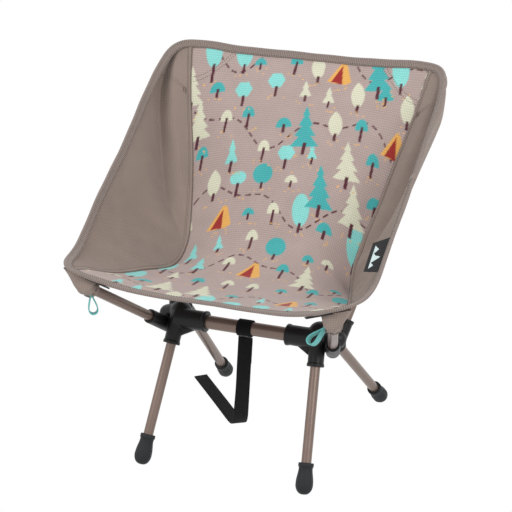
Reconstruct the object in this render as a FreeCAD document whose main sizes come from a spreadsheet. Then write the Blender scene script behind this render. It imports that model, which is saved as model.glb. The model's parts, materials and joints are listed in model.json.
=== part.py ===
"""Child's packable camp chair: a shock-corded tube frame that carries a bucket sling.

Frame of the model: millimetres, +Z up, origin on the ground under the middle of the outline.
The seat opens towards -Y, and +X is to the right of a viewer who faces the seat.
Two moulded hubs sit on the ends of one crossbar. Each hub holds a front leg, a rear leg,
a short seat pole and a two-section back pole. The pole ends push into pockets at the four
corners of the sling.
"""
import FreeCAD, Part
import math
import os

from FreeCAD import Placement, Rotation, Vector

DRIVING_SIZES = [
    # tubes
    ("tube_diameter", 13.0), ("tube_wall", 1.0),
    ("crossbar_diameter", 18.0), ("crossbar_wall", 1.2), ("crossbar_half_length", 86.0),
    # where the axes meet: the legs above the hub, the poles below it
    ("leg_meet_x", 96.7), ("leg_meet_y", -31.9), ("leg_meet_z", 195.4),
    ("pole_meet_x", 111.0), ("pole_meet_y", -19.0), ("pole_meet_z", 150.0),
    ("crossbar_height", 177.0),
    # ball ends of the foot caps, and the ends of the poles
    ("front_foot_x", 113.0), ("front_foot_y", -127.5), ("front_foot_z", 12.0),
    ("rear_foot_x", 118.0), ("rear_foot_y", 166.5), ("rear_foot_z", 12.0), ("ball_radius", 12.4),
    ("seat_tip_x", 166.0), ("seat_tip_y", -178.5), ("seat_tip_z", 264.0),
    ("back_tip_x", 188.0), ("back_tip_y", 182.5), ("back_tip_z", 478.0),
    # distances along an axis from the point where it meets its partner
    ("front_leg_top", 17.0), ("front_leg_mouth", 56.7),
    ("rear_leg_top", 38.0), ("rear_leg_mouth", 80.0),
    ("seat_pole_foot", 17.0), ("seat_pole_mouth", 62.0),
    ("back_pole_foot", 15.0), ("back_pole_mouth", 48.0), ("back_pole_split", 205.0),
    ("crossbar_mouth_x", 56.0),
    # hub sockets
    ("leg_socket_radius", 10.5), ("rear_socket_radius", 10.2), ("seat_socket_radius", 9.6),
    ("back_socket_radius", 10.4), ("crossbar_socket_radius", 13.3),
    ("hub_body_radius", 15.0), ("hub_web_thickness", 6.0), ("lip_length", 4.0), ("lip_height", 0.9),
    # clearances: round the sliding legs, round a fixed tube, and at a blind end
    ("running_fit", 0.06), ("fixed_fit", 0.04), ("end_gap", 0.6),
    # foot caps, pole tips, ferrules, rivets and cords
    ("cap_top", 28.0), ("cap_lip_radius", 9.9), ("cap_neck_radius", 9.0), ("cap_bore_end", 9.0),
    ("tip_radius", 7.8), ("tip_length", 20.0), ("tip_floor", 4.0),
    ("ferrule_length", 56.0), ("ferrule_wall", 0.9),
    ("rivet_radius", 1.9), ("rivet_head_radius", 4.2), ("rivet_head_height", 1.6),
    ("cord_radius", 1.7), ("cord_passage_radius", 2.3), ("cord_bend_radius", 9.0),
    # sling
    ("fabric_thickness", 1.2), ("binding_radius", 3.2), ("seam_gap", 1.2), ("edge_gap", 4.9),
    ("pocket_radius", 10.2), ("pocket_wall", 1.1), ("seat_pocket_length", 26.0),
    ("back_pocket_length", 64.0), ("pocket_end_gap", 1.5),
    ("label_thickness", 0.8), ("label_lift", 0.5),
    # pull loops
    ("loop_length", 31.0), ("loop_width", 16.0), ("loop_band", 1.6), ("loop_depth", 10.0),
    # hook-and-loop strap
    ("strap_width", 20.0), ("strap_thickness", 1.8), ("strap_x", -1.5), ("strap_ring_gap", 0.4),
    ("strap_joint_gap", 0.4),
]

doc = FreeCAD.newDocument("camp_chair")
sheet = doc.addObject("Spreadsheet::Sheet", "sizes")
for row, (alias, value) in enumerate(DRIVING_SIZES, start=1):
    sheet.set("A%d" % row, alias)
    sheet.set("B%d" % row, str(value))
    sheet.setAlias("B%d" % row, alias)
doc.recompute()

SIDES = {"left": -1, "right": 1}
pieces = []


def size(alias):
    """The number in one cell of the sheet."""
    return float(getattr(sheet, alias))


def place(alias, side):
    """A named point of the sheet, mirrored for the left side."""
    return Vector(side * size(alias + "_x"), size(alias + "_y"), size(alias + "_z"))


def keep(piece, label):
    """Name a finished sub-part and list it for export."""
    piece.Label = label
    pieces.append(piece)
    return piece


def unit(start, end):
    """The direction from one point to another."""
    direction = end - start
    return direction.normalize()


def pointing(base, direction):
    """A placement at base with its Z axis along direction."""
    return Placement(base, Rotation(Vector(0, 0, 1), direction))


# ---------------------------------------------------------------- primitives

def rod(radius, length, base, direction):
    """A cylinder from base along direction; radius and length are expressions or numbers."""
    cylinder = doc.addObject("Part::Cylinder", "rod")
    cylinder.setExpression("Radius", str(radius))
    cylinder.setExpression("Height", str(length))
    cylinder.Placement = pointing(base, direction)
    return cylinder


def taper(first_radius, second_radius, length, base, direction):
    """A cone from base along direction."""
    cone = doc.addObject("Part::Cone", "taper")
    cone.setExpression("Radius1", str(first_radius))
    cone.setExpression("Radius2", str(second_radius))
    cone.setExpression("Height", str(length))
    cone.Placement = pointing(base, direction)
    return cone


def ball(radius, centre):
    """A sphere."""
    sphere = doc.addObject("Part::Sphere", "ball")
    sphere.setExpression("Radius", str(radius))
    sphere.Placement = pointing(centre, Vector(1, 0, 0))
    return sphere


def joined(shapes):
    """One solid out of overlapping ones."""
    fuse = doc.addObject("Part::MultiFuse", "joined")
    fuse.Shapes = shapes
    fuse.Refine = True
    return fuse


def without(base, tool):
    """Base with the tool taken out."""
    cut = doc.addObject("Part::Cut", "without")
    cut.Base = base
    cut.Tool = tool
    return cut


def tube(label, outer, inner, length, base, direction):
    """A round tube."""
    return keep(without(rod(outer, length, base, direction),
                        rod(inner, length, base, direction)), label)


def solid_feature(shape, label):
    """A shape made with Part's own functions."""
    feature = doc.addObject("Part::Feature", "shape")
    feature.Shape = shape
    return keep(feature, label)


def bent_cord(start, corner, end, radius, bend):
    """A round cord of two straight runs joined by one tangent arc at the corner."""
    first = unit(corner, start)
    second = unit(corner, end)
    half_turn = (math.pi - first.getAngle(second)) / 2
    reach = bend * math.tan(half_turn)
    inward = (first + second).normalize()
    middle = corner + inward * (bend / math.cos(half_turn) - bend)
    path = Part.Wire([
        Part.LineSegment(start, corner + first * reach).toShape(),
        Part.Arc(corner + first * reach, middle, corner + second * reach).toShape(),
        Part.LineSegment(corner + second * reach, end).toShape()])
    section = Part.Wire([Part.Circle(start, first * -1, radius).toShape()])
    return path.makePipeShell([section], True, False)


# ---------------------------------------------------------------- axes of the frame

def front_leg_axis(side):
    """Where the front leg's axis starts, above the hub, and its direction down to the foot."""
    start = place("leg_meet", side)
    foot = place("front_foot", side)
    return start, unit(start, foot), (foot - start).Length


def rear_leg_axis(side):
    """The same for the rear leg."""
    start = place("leg_meet", side)
    foot = place("rear_foot", side)
    return start, unit(start, foot), (foot - start).Length


def seat_pole_axis(side):
    """Where the seat pole's axis starts, below the hub, its direction and its full length."""
    start = place("pole_meet", side)
    tip = place("seat_tip", side)
    return start, unit(start, tip), (tip - start).Length


def back_pole_axis(side):
    """The same for the back pole."""
    start = place("pole_meet", side)
    tip = place("back_tip", side)
    return start, unit(start, tip), (tip - start).Length


def crossbar_axis(side):
    """The middle of the crossbar and the direction to its end in this side's hub."""
    start, down, _ = front_leg_axis(side)
    drop = (start.z - size("crossbar_height")) / -down.z
    on_leg = start + down * drop
    return Vector(0, on_leg.y, on_leg.z), Vector(side, 0, 0)


# ---------------------------------------------------------------- frame parts

def make_crossbar():
    """The thicker tube between the hubs."""
    middle, direction = crossbar_axis(1)
    tube("crossbar", "sizes.crossbar_diameter / 2",
         "sizes.crossbar_diameter / 2 - sizes.crossbar_wall",
         "2 * sizes.crossbar_half_length",
         middle - direction * size("crossbar_half_length"), direction)


def socket(axis, begin, mouth, radius, lip=True):
    """One arm of a hub: a round arm with a raised lip round its mouth."""
    start, direction = axis[0], axis[1]
    arms = [rod(radius, "sizes.%s - %s" % (mouth, begin), start + direction * begin, direction)]
    if lip:
        lip_start = start + direction * (size(mouth) - size("lip_length"))
        arms.append(rod(radius + " + sizes.lip_height", "sizes.lip_length", lip_start, direction))
    return arms


def tube_bore(axis, begin, mouth, fit):
    """The blind hole for a tube, from below its end gap out through the mouth."""
    start, direction = axis[0], axis[1]
    overrun = 1.0
    first = size(begin) - size("end_gap")
    return rod("sizes.tube_diameter / 2 + sizes." + fit,
               "sizes.%s - sizes.%s + sizes.end_gap + %s" % (mouth, begin, overrun),
               start + direction * first, direction)


def hub_web(side):
    """The triangular web in the corner between the crossbar socket and the front leg socket."""
    middle, outward = crossbar_axis(side)
    start, down, _ = front_leg_axis(side)
    corner = Vector(start.x, middle.y, middle.z)
    inner = middle + outward * (size("crossbar_mouth_x") + 7)
    lower = start + down * (size("front_leg_mouth") - 7)
    web = doc.addObject("Part::Polygon", "web_outline")
    web.Nodes = [corner, inner + Vector(0, 0, -9), lower]
    web.Close = True
    plate = doc.addObject("Part::Extrusion", "web")
    plate.Base = web
    plate.DirMode = "Custom"
    plate.Dir = outward.cross(down).normalize()
    plate.setExpression("LengthFwd", "sizes.hub_web_thickness")
    plate.Solid = True
    plate.Symmetric = True
    return plate


def make_hubs():
    """The two moulded hubs: five sockets round a rounded body, bored for tubes and cords."""
    side = SIDES["left"]
    middle, outward = crossbar_axis(side)
    front, rear = front_leg_axis(side), rear_leg_axis(side)
    seat, back = seat_pole_axis(side), back_pole_axis(side)
    bar_mouth = middle + outward * size("crossbar_mouth_x")
    leg_crossing = Vector(front[0].x, middle.y, middle.z)
    bar_reach = abs(leg_crossing.x) - size("crossbar_mouth_x") + 4
    body_centre = leg_crossing + Vector(side * 1, 9, 5)
    pole_root = seat[0] + seat[1] * 19 + back[1] * 16

    solids = [rod("sizes.crossbar_socket_radius", bar_reach, bar_mouth, outward),
              rod("sizes.crossbar_socket_radius + sizes.lip_height", "sizes.lip_length",
                  bar_mouth, outward),
              ball("sizes.hub_body_radius", body_centre),
              rod("sizes.hub_body_radius - 3", (pole_root - body_centre).Length,
                  body_centre, unit(body_centre, pole_root)),
              ball("sizes.hub_body_radius - 3", pole_root),
              hub_web(side)]
    solids += socket(front, 12, "front_leg_mouth", "sizes.leg_socket_radius")
    solids += socket(rear, 16, "rear_leg_mouth", "sizes.rear_socket_radius")
    solids += socket(seat, 14, "seat_pole_mouth", "sizes.seat_socket_radius", lip=False)
    solids += socket(back, 12, "back_pole_mouth", "sizes.back_socket_radius")

    bores = [tube_bore(front, "front_leg_top", "front_leg_mouth", "running_fit"),
             tube_bore(rear, "rear_leg_top", "rear_leg_mouth", "running_fit"),
             tube_bore(seat, "seat_pole_foot", "seat_pole_mouth", "fixed_fit"),
             tube_bore(back, "back_pole_foot", "back_pole_mouth", "fixed_fit"),
             rod("sizes.crossbar_diameter / 2 + sizes.fixed_fit",
                 "sizes.crossbar_half_length - sizes.crossbar_mouth_x + sizes.end_gap + 1",
                 bar_mouth - outward, outward),
             cord_passage(front, rear), cord_passage(seat, back), rivet_hole(side)]
    hub = keep(without(joined(solids), joined(bores)), "hub_left")
    mirror = doc.addObject("Part::Mirroring", "other_hand")
    mirror.Source = hub
    mirror.Normal = Vector(1, 0, 0)
    keep(mirror, "hub_right")


def cord_passage(first, second):
    """The bent hole that a shock cord runs through, past the ends of two tubes."""
    reach = 40
    feature = doc.addObject("Part::Feature", "cord_passage")
    feature.Shape = bent_cord(first[0] + first[1] * reach, first[0], first[0] + second[1] * reach,
                              size("cord_passage_radius"), size("cord_bend_radius"))
    return feature


def rivet_seat(side):
    """The point on the back of the crossbar socket where the rivet's head sits."""
    middle, outward = crossbar_axis(side)
    across = Vector(0, 1, 0)
    along = (size("crossbar_mouth_x") + size("crossbar_half_length")) / 2
    return middle + outward * along + across * size("crossbar_socket_radius"), across


def rivet_hole(side):
    """The hole through socket and crossbar for the rivet's shank."""
    head, across = rivet_seat(side)
    return rod("sizes.rivet_radius + sizes.fixed_fit",
               "sizes.crossbar_socket_radius", head - across * size("crossbar_socket_radius"), across)


def make_rivet(name, side):
    """The rivet that holds the crossbar in the hub, with a domed head at the back."""
    head, across = rivet_seat(side)
    shank_length = size("crossbar_socket_radius") - size("crossbar_diameter") / 2 - 0.2
    shank = rod("sizes.rivet_radius", shank_length + 0.5, head - across * shank_length, across)
    dome = taper("sizes.rivet_head_radius", "sizes.rivet_head_radius * 0.6",
                 "sizes.rivet_head_height", head + across * 0.05, across)
    keep(joined([shank, dome]), "crossbar_rivet_" + name)


def make_leg(end, name, axis):
    """A leg tube and the rubber cap on its foot."""
    start, down, reach = axis
    top = "sizes.%s_leg_top" % end
    length = "%s - sizes.cap_bore_end - %s" % (reach, top)
    tube("%s_leg_%s" % (end, name), "sizes.tube_diameter / 2",
         "sizes.tube_diameter / 2 - sizes.tube_wall", length,
         start + down * size(end + "_leg_top"), down)

    centre = start + down * reach
    cap_start = centre - down * size("cap_top")
    lip = rod("sizes.cap_lip_radius", "5", cap_start, down)
    neck = taper("sizes.cap_neck_radius", "sizes.ball_radius - 0.6", "sizes.cap_top - 3",
                 cap_start, down)
    ground = doc.addObject("Part::Box", "ground")
    ground.Length, ground.Width, ground.Height = 60, 60, 30
    ground.Placement.Base = Vector(centre.x - 30, centre.y - 30, -30)
    bore = rod("sizes.tube_diameter / 2 + sizes.fixed_fit", "sizes.cap_top - sizes.cap_bore_end + 1.3",
               cap_start - down, down)
    rubber = without(joined([lip, neck, ball("sizes.ball_radius", centre)]), joined([ground, bore]))
    keep(rubber, "%s_foot_cap_%s" % (end, name))


def make_pole_tip(label, axis):
    """The domed plastic cap that a pole pushes into its pocket."""
    start, direction, reach = axis
    dome_centre = start + direction * (reach - size("tip_radius"))
    skirt_start = start + direction * (reach - size("tip_length"))
    skirt = rod("sizes.tip_radius", "sizes.tip_length - sizes.tip_radius", skirt_start, direction)
    bore = rod("sizes.tube_diameter / 2 + sizes.fixed_fit", "sizes.tip_length - sizes.tip_floor + 1",
               skirt_start - direction, direction)
    keep(without(joined([skirt, ball("sizes.tip_radius", dome_centre)]), bore), label)


def make_poles(name, side):
    """The seat pole in one length, and the back pole in two lengths on a ferrule."""
    outer = "sizes.tube_diameter / 2"
    inner = "sizes.tube_diameter / 2 - sizes.tube_wall"
    start, direction, reach = seat_pole_axis(side)
    end = "%s - sizes.tip_floor - 0.3" % reach
    tube("seat_pole_" + name, outer, inner, end + " - sizes.seat_pole_foot",
         start + direction * size("seat_pole_foot"), direction)
    make_pole_tip("seat_pole_tip_" + name, (start, direction, reach))

    start, direction, reach = back_pole_axis(side)
    end = "%s - sizes.tip_floor - 0.3" % reach
    split = size("back_pole_split")
    tube("back_pole_lower_" + name, outer, inner, "sizes.back_pole_split - sizes.back_pole_foot",
         start + direction * size("back_pole_foot"), direction)
    tube("back_pole_upper_" + name, outer, inner, end + " - sizes.back_pole_split - 0.3",
         start + direction * (split + 0.3), direction)
    tube("back_pole_ferrule_" + name, inner + " - sizes.fixed_fit",
         inner + " - sizes.fixed_fit - sizes.ferrule_wall", "sizes.ferrule_length",
         start + direction * (split - size("ferrule_length") / 2), direction)
    make_pole_tip("back_pole_tip_" + name, (start, direction, reach))


def make_cords(name, side):
    """The two shock cords of a side: leg to leg over the hub's top, pole to pole under it."""
    front, rear = front_leg_axis(side), rear_leg_axis(side)
    seat, back = seat_pole_axis(side), back_pole_axis(side)
    radius, bend = size("cord_radius"), size("cord_bend_radius")
    leg_end = size("cap_bore_end") + 2
    pole_end = size("tip_floor") + 2
    solid_feature(bent_cord(front[0] + front[1] * (front[2] - leg_end), front[0],
                            rear[0] + rear[1] * (rear[2] - leg_end), radius, bend),
                  "leg_cord_" + name)
    solid_feature(bent_cord(seat[0] + seat[1] * (seat[2] - pole_end), seat[0],
                            back[0] + back[1] * (back[2] - pole_end), radius, bend),
                  "pole_cord_" + name)


# ---------------------------------------------------------------- lines of the sling

def smooth(points):
    """A smooth open curve through points."""
    curve = Part.BSplineCurve()
    curve.interpolate(points)
    return curve


def front_edge(x):
    """A point of the sling's front edge: between the corners it dips and draws back."""
    return Vector(x, -155.5 - 35 * (x / 170) ** 2, 253.5 + 31 * abs(x / 170) ** 3)


def top_edge(x):
    """A point of the sling's top edge, a little lower and further back in the middle."""
    return Vector(x, 190.5 - 6 * (x / 170) ** 2, 487 + 5 * (x / 170) ** 2)


FRONT_CORNER = [Vector(182, -188.5, 288), Vector(191, -180.5, 289.5), Vector(198, -162.5, 289.5)]
SIDE_EDGE = [Vector(202, -128.5, 294), Vector(203.5, -82.5, 322), Vector(203.5, -10.5, 367),
             Vector(203.5, 69.5, 422)]
TOP_CORNER = [Vector(206, 147.5, 476), Vector(203, 166.5, 489), Vector(190, 177.5, 495)]
CENTRE_LINE = [Vector(0, -151, 252.3), Vector(0, -90.5, 242), Vector(0, -50.5, 239), Vector(0, -15.5, 243),
               Vector(0, 19.5, 257), Vector(0, 47.5, 284), Vector(0, 87.5, 343), Vector(0, 137.5, 414),
               Vector(0, 187.5, 483)]
SEAM_LINE = [Vector(176, -183.5, 284.5), Vector(170, -152.5, 274), Vector(161, -120.5, 260),
             Vector(150, -80.5, 247), Vector(137, -35.5, 237), Vector(122, 14.5, 232),
             Vector(118, 33.5, 247), Vector(122, 59.5, 280), Vector(131, 86.5, 314),
             Vector(142, 114.5, 362), Vector(157, 144.5, 418), Vector(171, 179.5, 482)]
STATIONS = 21


def edge_half():
    """The right half of the sling's edge, from the middle of the front to the middle of the top."""
    front = [front_edge(x) for x in (0, 60, 115, 150, 170)]
    top = [top_edge(x) for x in (165, 110, 55, 0)]
    return front + FRONT_CORNER + SIDE_EDGE + TOP_CORNER + top


def mirrored(point):
    """The same point on the other side."""
    return Vector(-point.x, point.y, point.z)


def sling_surface(rows):
    """A smooth surface through rows of points."""
    surface = Part.BSplineSurface()
    surface.interpolate(rows)
    return surface


def make_sheet(surface, label):
    """A thin closed solid on the outer side of a surface."""
    face = surface.toShape()
    return solid_feature(face.makeOffsetShape(size("fabric_thickness"), 0.01, fill=True), label)


def make_centre_panel():
    """The panel that runs from the front edge over the seat and up to the top edge."""
    centre = smooth(CENTRE_LINE).discretize(Number=STATIONS)
    seam = smooth(SEAM_LINE).discretize(Number=STATIONS)
    gap = size("seam_gap")
    across = 9
    rows = []
    for middle, side in zip(centre, seam):
        row = []
        for step in range(across):
            share = 2 * step / (across - 1) - 1
            row.append(Vector(share * (side.x - gap),
                              middle.y + (side.y - middle.y) * share ** 2,
                              middle.z + (side.z - middle.z) * abs(share) ** 2.6))
        rows.append(row)
    make_sheet(sling_surface(rows), "centre_panel")


def side_surface(side):
    """The surface of a side panel, ruled from the seam to the edge and hollow towards the pole."""
    seam = smooth(SEAM_LINE).discretize(Number=STATIONS)
    rim = smooth(FRONT_CORNER[1:] + SIDE_EDGE + TOP_CORNER
                 + [top_edge(178)]).discretize(Number=STATIONS)
    across = 6
    rows = []
    for inner, outer in zip(seam, rim):
        direction = unit(inner, outer)
        first = inner + direction * size("seam_gap")
        last = outer - direction * size("edge_gap")
        row = []
        for step in range(across):
            point = first + (last - first) * (step / (across - 1))
            row.append(Vector(side * point.x, point.y, point.z))
        rows.append(row if side < 0 else row[::-1])
    return sling_surface(rows)


def make_side_panel(name, side):
    """A plain side panel."""
    make_sheet(side_surface(side), "side_panel_" + name)


def make_binding():
    """The rolled tape round the whole edge of the sling: two mirrored halves in one piece."""
    points = edge_half()
    before = [mirrored(point) for point in points[3:0:-1]]
    after = [mirrored(point) for point in points[-2:-5:-1]]
    line = Part.BSplineCurve()
    line.interpolate(Points=before + points + after)
    stops = [line.parameter(point) for point in [before[-1]] + points[1:-1] + [after[0]]]
    edges = []
    for start, end in zip(stops, stops[1:]):
        span = line.copy()
        span.segment(start, end)
        edges.append(span.toShape())
    path = Part.Wire(edges)
    section = Part.Circle(before[-1], line.tangent(stops[0])[0], size("binding_radius"))
    swept = path.makePipeShell([Part.Wire([section.toShape()])], True, True)
    right = swept.common(Part.makeBox(300, 600, 600, Vector(0, -300, 0)))
    left = right.mirror(Vector(0, 0, 0), Vector(1, 0, 0))
    solid_feature(right.fuse(left), "edge_binding")


def make_pocket(label, axis, length):
    """A corner pocket: a round cup over a pole tip, open at its hem."""
    start, direction, reach = axis
    end = reach + size("pocket_end_gap")
    hem = start + direction * (end - size(length))
    outer = rod("sizes.pocket_radius", "sizes.%s + sizes.pocket_wall" % length, hem, direction)
    inner = rod("sizes.pocket_radius - sizes.pocket_wall", "sizes.%s + 1" % length,
                hem - direction, direction)
    keep(without(outer, inner), label)


def make_pull_loop(name, side):
    """A loop of flat tape that hangs from the pocket's hem."""
    start, direction, reach = seat_pole_axis(side)
    hem = start + direction * (reach + size("pocket_end_gap") - size("seat_pocket_length"))
    hang = hem + Vector(-side * 9.4, -10.2, -0.3)
    radius = size("loop_width") / 2
    band = size("loop_band")
    low = Vector(0, 0, radius - size("loop_length"))

    def teardrop(shrink):
        """The loop's outline in its own XZ plane: a point at the top and an arc below."""
        bottom_radius = radius - shrink
        top = Vector(0, 0, -1.3 * shrink)
        right_side = low + Vector(bottom_radius, 0, 0)
        left_side = low + Vector(-bottom_radius, 0, 0)
        shoulder = 0.55 * bottom_radius
        mid_right = Vector(shoulder, 0, low.z * 0.45)
        mid_left = Vector(-shoulder, 0, low.z * 0.45)
        return Part.Face(Part.Wire([
            Part.LineSegment(top, mid_right).toShape(),
            Part.LineSegment(mid_right, right_side).toShape(),
            Part.Arc(right_side, low + Vector(0, 0, -bottom_radius), left_side).toShape(),
            Part.LineSegment(left_side, mid_left).toShape(),
            Part.LineSegment(mid_left, top).toShape()]))

    ring = teardrop(0).cut(teardrop(band))
    solid = ring.extrude(Vector(0, size("loop_depth"), 0))
    solid.translate(Vector(0, -size("loop_depth") / 2, 0))
    turn = Rotation(Vector(0, 0, 1), side * 20)
    feature = solid_feature(solid, "pull_loop_" + name)
    feature.Placement = Placement(hang, turn)


def make_label():
    """The small woven label on the inner face of the right side panel, beside the binding."""
    surface = side_surface(1)
    u_range, v_range = surface.bounds()[0:2], surface.bounds()[2:4]

    def part_of(limits, share):
        return limits[0] + (limits[1] - limits[0]) * share

    patch = surface.toShape(part_of(u_range, 0.20), part_of(u_range, 0.318),
                            part_of(v_range, 0.03), part_of(v_range, 0.20))
    lifted = patch.makeOffsetShape(-size("label_lift"), 0.01)
    plate = lifted.Faces[0].makeOffsetShape(-size("label_thickness"), 0.01, fill=True)
    solid_feature(plate, "woven_label")


# ---------------------------------------------------------------- strap

STRAP_ROUTE = [Vector(-2, -41.5, 164), Vector(-6, -37.5, 120), Vector(-13, -26.5, 72),
               Vector(-23, -7.5, 30), Vector(-33, 11.5, 9), Vector(-48, 32.5, 2),
               Vector(-82, 72.5, 2), Vector(-117, 112.5, 2), Vector(-151, 151.5, 2)]


def make_strap():
    """The hook-and-loop strap: a ring round the crossbar, a hanging run and a tail on the ground."""
    middle, outward = crossbar_axis(1)
    width = size("strap_width")
    ring_radius = "sizes.crossbar_diameter / 2 + sizes.strap_ring_gap"
    start = middle + outward * (size("strap_x") - width / 2)
    ring = without(rod(ring_radius + " + sizes.strap_thickness", "sizes.strap_width", start, outward),
                   rod(ring_radius, "sizes.strap_width", start, outward))
    keep(ring, "strap_ring")

    line = smooth(STRAP_ROUTE).discretize(Number=19)
    lowest = size("strap_thickness") + 0.1
    ground = 10
    rows = []
    for index, point in enumerate(line):
        turn = math.radians(43) * min(1.0, max(0.0, (index - 4) / (ground - 4)))
        half = Vector(math.cos(turn), math.sin(turn), 0) * (width / 2)
        centre = Vector(point.x, point.y, max(point.z, lowest))
        rows.append([centre - half, centre, centre + half])
    fold = unit(rows[ground][1], rows[ground + 1][1]) * size("strap_joint_gap")
    tail_start = [point + fold for point in rows[ground]]
    for label, part_rows in (("strap_hanging", rows[:ground + 1]),
                             ("strap_tail", [tail_start] + rows[ground + 1:])):
        face = sling_surface(part_rows).toShape()
        solid_feature(face.makeOffsetShape(size("strap_thickness"), 0.01, fill=True), label)


# ---------------------------------------------------------------- build and export

make_crossbar()
make_hubs()
for name, side in SIDES.items():
    make_rivet(name, side)
    make_leg("front", name, front_leg_axis(side))
    make_leg("rear", name, rear_leg_axis(side))
    make_poles(name, side)
    make_cords(name, side)
    make_side_panel(name, side)
    make_pocket("front_pocket_" + name, seat_pole_axis(side), "seat_pocket_length")
    make_pocket("back_pocket_" + name, back_pole_axis(side), "back_pocket_length")
    make_pull_loop(name, side)
make_centre_panel()
make_binding()
make_label()
make_strap()
doc.recompute()

for item in doc.Objects:
    if "Invalid" in item.State or "Error" in item.State:
        raise RuntimeError("%s did not recompute: %s" % (item.Label, item.State))
for piece in pieces:
    if piece.Shape.isNull() or not piece.Shape.isValid() or not piece.Shape.Solids:
        raise RuntimeError("%s has no valid solid" % piece.Label)

os.makedirs("parts", exist_ok=True)
for piece in pieces:
    piece.Shape.exportStep(os.path.join("parts", piece.Label + ".step"))
print(len(pieces), "sub-parts written")
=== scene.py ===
"""Looks of a child's packable camp chair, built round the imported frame.

Lengths of the object are written in millimetres and turned into metres by the builders below.
The sling's lines are close to the frame's, with rounder corners: a printed centre panel, two plain
side panels and a ribbed binding, held by pockets at the four corners.
"""

import json
import math

import bmesh
import bpy
import numpy as np
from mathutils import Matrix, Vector


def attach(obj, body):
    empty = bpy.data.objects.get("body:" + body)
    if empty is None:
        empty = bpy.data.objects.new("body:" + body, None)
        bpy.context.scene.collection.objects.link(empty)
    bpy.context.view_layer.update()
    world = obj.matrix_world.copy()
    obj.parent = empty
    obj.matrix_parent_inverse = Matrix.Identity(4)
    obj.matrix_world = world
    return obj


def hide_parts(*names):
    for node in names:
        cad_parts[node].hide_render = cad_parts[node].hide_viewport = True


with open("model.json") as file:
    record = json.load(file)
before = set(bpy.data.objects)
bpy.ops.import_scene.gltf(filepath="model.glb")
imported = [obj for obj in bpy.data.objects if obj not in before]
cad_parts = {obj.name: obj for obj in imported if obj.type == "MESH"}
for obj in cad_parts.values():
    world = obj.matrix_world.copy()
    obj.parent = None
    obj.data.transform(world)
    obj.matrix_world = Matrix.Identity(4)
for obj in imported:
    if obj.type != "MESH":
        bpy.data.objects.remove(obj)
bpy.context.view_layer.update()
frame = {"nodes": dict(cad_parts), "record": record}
MM = 0.001
SIDES = {"left": -1, "right": 1}
rng = np.random.default_rng(7)


# -------- camera and lights

TARGET = Vector((-0.0115, 0.0195, 0.2544))
CAMERA_PLACE = Vector((0.81056, -2.04624, 1.09183))
CAMERA_LENS = 126.56


def place_facing(name, data, place):
    """Adds a camera or light that looks at the middle of the chair."""
    thing = bpy.data.objects.new(name, data)
    thing.location = place
    thing.rotation_euler = (TARGET - thing.location).to_track_quat("-Z", "Y").to_euler()
    bpy.context.scene.collection.objects.link(thing)
    return thing


def make_camera():
    data = bpy.data.cameras.new("camera")
    data.lens = CAMERA_LENS
    data.sensor_width = 36.0
    data.clip_end = 50.0
    bpy.context.scene.camera = place_facing("camera", data, CAMERA_PLACE)


def area_light(name, place, size, power):
    data = bpy.data.lights.new(name, "AREA")
    data.shape = "DISK"
    data.size = size
    data.energy = power
    place_facing(name, data, place)


def make_studio():
    """A white world and three soft lights."""
    world = bpy.data.worlds.new("studio")
    world.use_nodes = True
    world.node_tree.nodes["Background"].inputs["Color"].default_value = (1, 1, 1, 1)
    world.node_tree.nodes["Background"].inputs["Strength"].default_value = 1.0
    bpy.context.scene.world = world
    area_light("key", (-1.3, -1.9, 2.2), 0.9, 30)
    area_light("fill", (2.0, -1.0, 1.7), 0.9, 24)
    area_light("rim", (0.5, 1.9, 2.0), 1.4, 6)
    bpy.context.scene.view_settings.view_transform = "Standard"


# -------- materials

def linear(red, green, blue, strength=0.84):
    """A colour as the shader wants it, from 0 to 255 sRGB values, a little under full strength."""
    return tuple(strength * ((c / 255 + 0.055) / 1.055) ** 2.4 for c in (red, green, blue))


def new_material(name, colour, roughness, metallic):
    material = bpy.data.materials.new(name)
    material.use_nodes = True
    shader = material.node_tree.nodes["Principled BSDF"]
    shader.inputs["Base Color"].default_value = (*colour, 1)
    shader.inputs["Roughness"].default_value = roughness
    shader.inputs["Metallic"].default_value = metallic
    return material


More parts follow.
